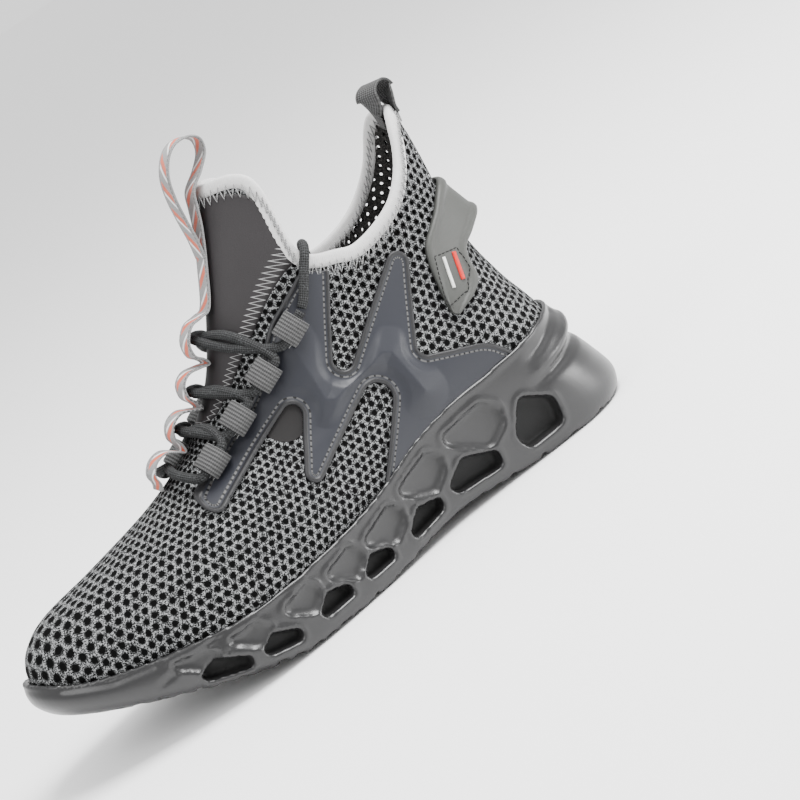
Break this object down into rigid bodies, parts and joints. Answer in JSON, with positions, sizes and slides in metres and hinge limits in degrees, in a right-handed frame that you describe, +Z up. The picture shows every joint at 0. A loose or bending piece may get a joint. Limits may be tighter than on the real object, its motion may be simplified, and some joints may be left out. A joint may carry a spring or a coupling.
{
  "type": "safety sneaker",
  "caption": "Left knitted work sneaker with a cup sole, welded side overlay, lace loops, a folded ribbon on the tongue and a moulded heel strap, standing unbent.",
  "frame": {"origin": "on the ground at the middle of the flat heel pad of the sole, which is the mount heel_pad", "axes": "+Z up, toe towards -X, outer side of the left shoe towards -Y; the shoe is longest along X"},
  "size_m": [0.3042, 0.1086, 0.2057],
  "materials": {
    "knit": "black polyester knit with light heather yarns and small open holes",
    "tongue_fabric": "smooth dark stretch fabric",
    "sole_rubber": "dark grey moulded rubber, satin",
    "insole_foam": "fabric-covered foam",
    "binding_knit": "light grey ribbed knit",
    "overlay_film": "welded synthetic film, satin, with a raised rim",
    "webbing": "grey ribbed webbing",
    "lace_cord": "dark braided round lace with light flecks",
    "ribbon_tape": "woven grey tape with plain coloured bars",
    "strap_plastic": "moulded grey-green plastic, matte"
  },
  "bodies": {
    "root": {"upper": "knit", "tongue": "tongue_fabric", "sole": "sole_rubber", "insole": "insole_foam", "collar_binding": "binding_knit", "overlay_outer": "overlay_film", "overlay_inner": "overlay_film", "lace_loop_outer_1": "webbing", "lace_loop_outer_2": "webbing", "lace_loop_outer_3": "webbing", "lace_loop_outer_4": "webbing", "lace_loop_inner_1": "webbing", "lace_loop_inner_2": "webbing", "lace_loop_inner_3": "webbing", "lace_loop_inner_4": "webbing", "lace": "lace_cord", "lace_end": "lace_cord", "ribbon": "ribbon_tape", "heel_pull_loop": "webbing", "heel_strap": "strap_plastic"}
  },
  "joints": []
}
